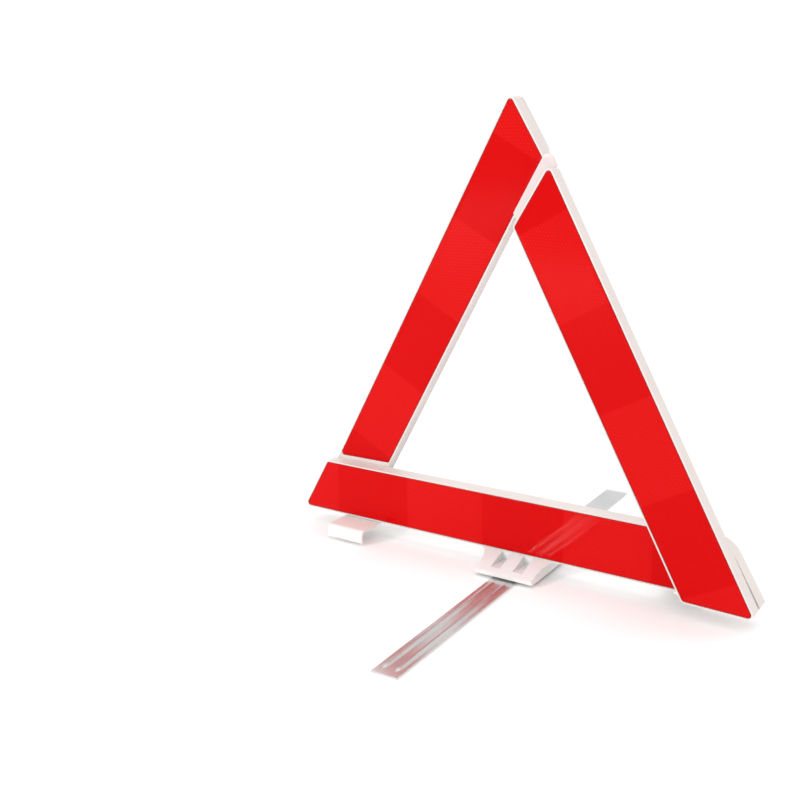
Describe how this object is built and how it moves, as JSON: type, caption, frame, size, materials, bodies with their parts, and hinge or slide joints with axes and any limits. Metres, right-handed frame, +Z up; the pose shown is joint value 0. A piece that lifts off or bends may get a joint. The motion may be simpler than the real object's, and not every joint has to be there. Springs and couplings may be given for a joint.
{
  "type": "warning triangle",
  "caption": "Folding roadside warning triangle: hinged white plastic arms with red reflectors, on a swivelling steel strip and small bent feet.",
  "frame": {"origin": "on the ground, where the stand strip's swivel axis meets its underside", "axes": "+X along the bottom arm, +Y away from the reflectors, +Z up"},
  "size_m": [0.4325, 0.4304, 0.3913],
  "materials": {
    "white_plastic": "fine moulded satin",
    "red_reflector": "glossy prismatic lens",
    "zinc_steel": "zinc plated",
    "strip_steel": "bright rolled"
  },
  "bodies": {
    "base": {"bottom_arm": "white_plastic", "bottom_reflector": "red_reflector", "stand_bracket": "white_plastic", "bracket_screws": "zinc_steel", "swivel_rivet": "zinc_steel", "swivel_washer": "zinc_steel", "left_pivot_rivet": "zinc_steel", "left_pivot_washer": "zinc_steel", "left_foot_rivet": "zinc_steel", "right_foot_rivet": "zinc_steel", "foot_washers": "zinc_steel"},
    "left_arm": {"left_arm": "white_plastic", "left_reflector": "red_reflector", "left_end_washer": "zinc_steel"},
    "right_arm": {"right_arm": "white_plastic", "right_reflector": "red_reflector", "right_pivot_rivet": "zinc_steel", "right_pivot_washer": "zinc_steel", "right_end_washer": "zinc_steel"},
    "strip": {"stand_strip": "strip_steel"},
    "left_foot": {"left_foot": "white_plastic"},
    "right_foot": {"right_foot": "white_plastic"}
  },
  "joints": [
    {"name": "left_arm_fold", "type": "hinge", "parent": "base", "child": "left_arm", "pos_m": [-0.1847, 0.0075, 0.0397], "axis": [0, 0.9997, 0.0233], "range_deg": [0, 60.7]},
    {"name": "right_arm_fold", "type": "hinge", "parent": "base", "child": "right_arm", "pos_m": [0.1627, -0.0075, 0.0397], "axis": [0, -0.9997, 0.0233], "range_deg": [0, 61.4]},
    {"name": "strip_swivel", "type": "hinge", "parent": "base", "child": "strip", "pos_m": [0, 0, 0], "axis": [0, 0, 1], "range_deg": [-91.1, 88.9]},
    {"name": "left_foot_swivel", "type": "hinge", "parent": "base", "child": "left_foot", "pos_m": [-0.1635, 0, 0.0127], "axis": [0, 0, 1], "range_deg": [0, 90]},
    {"name": "right_foot_swivel", "type": "hinge", "parent": "base", "child": "right_foot", "pos_m": [0.1415, 0, 0.0127], "axis": [0, 0, 1], "range_deg": [0, 90]}
  ]
}
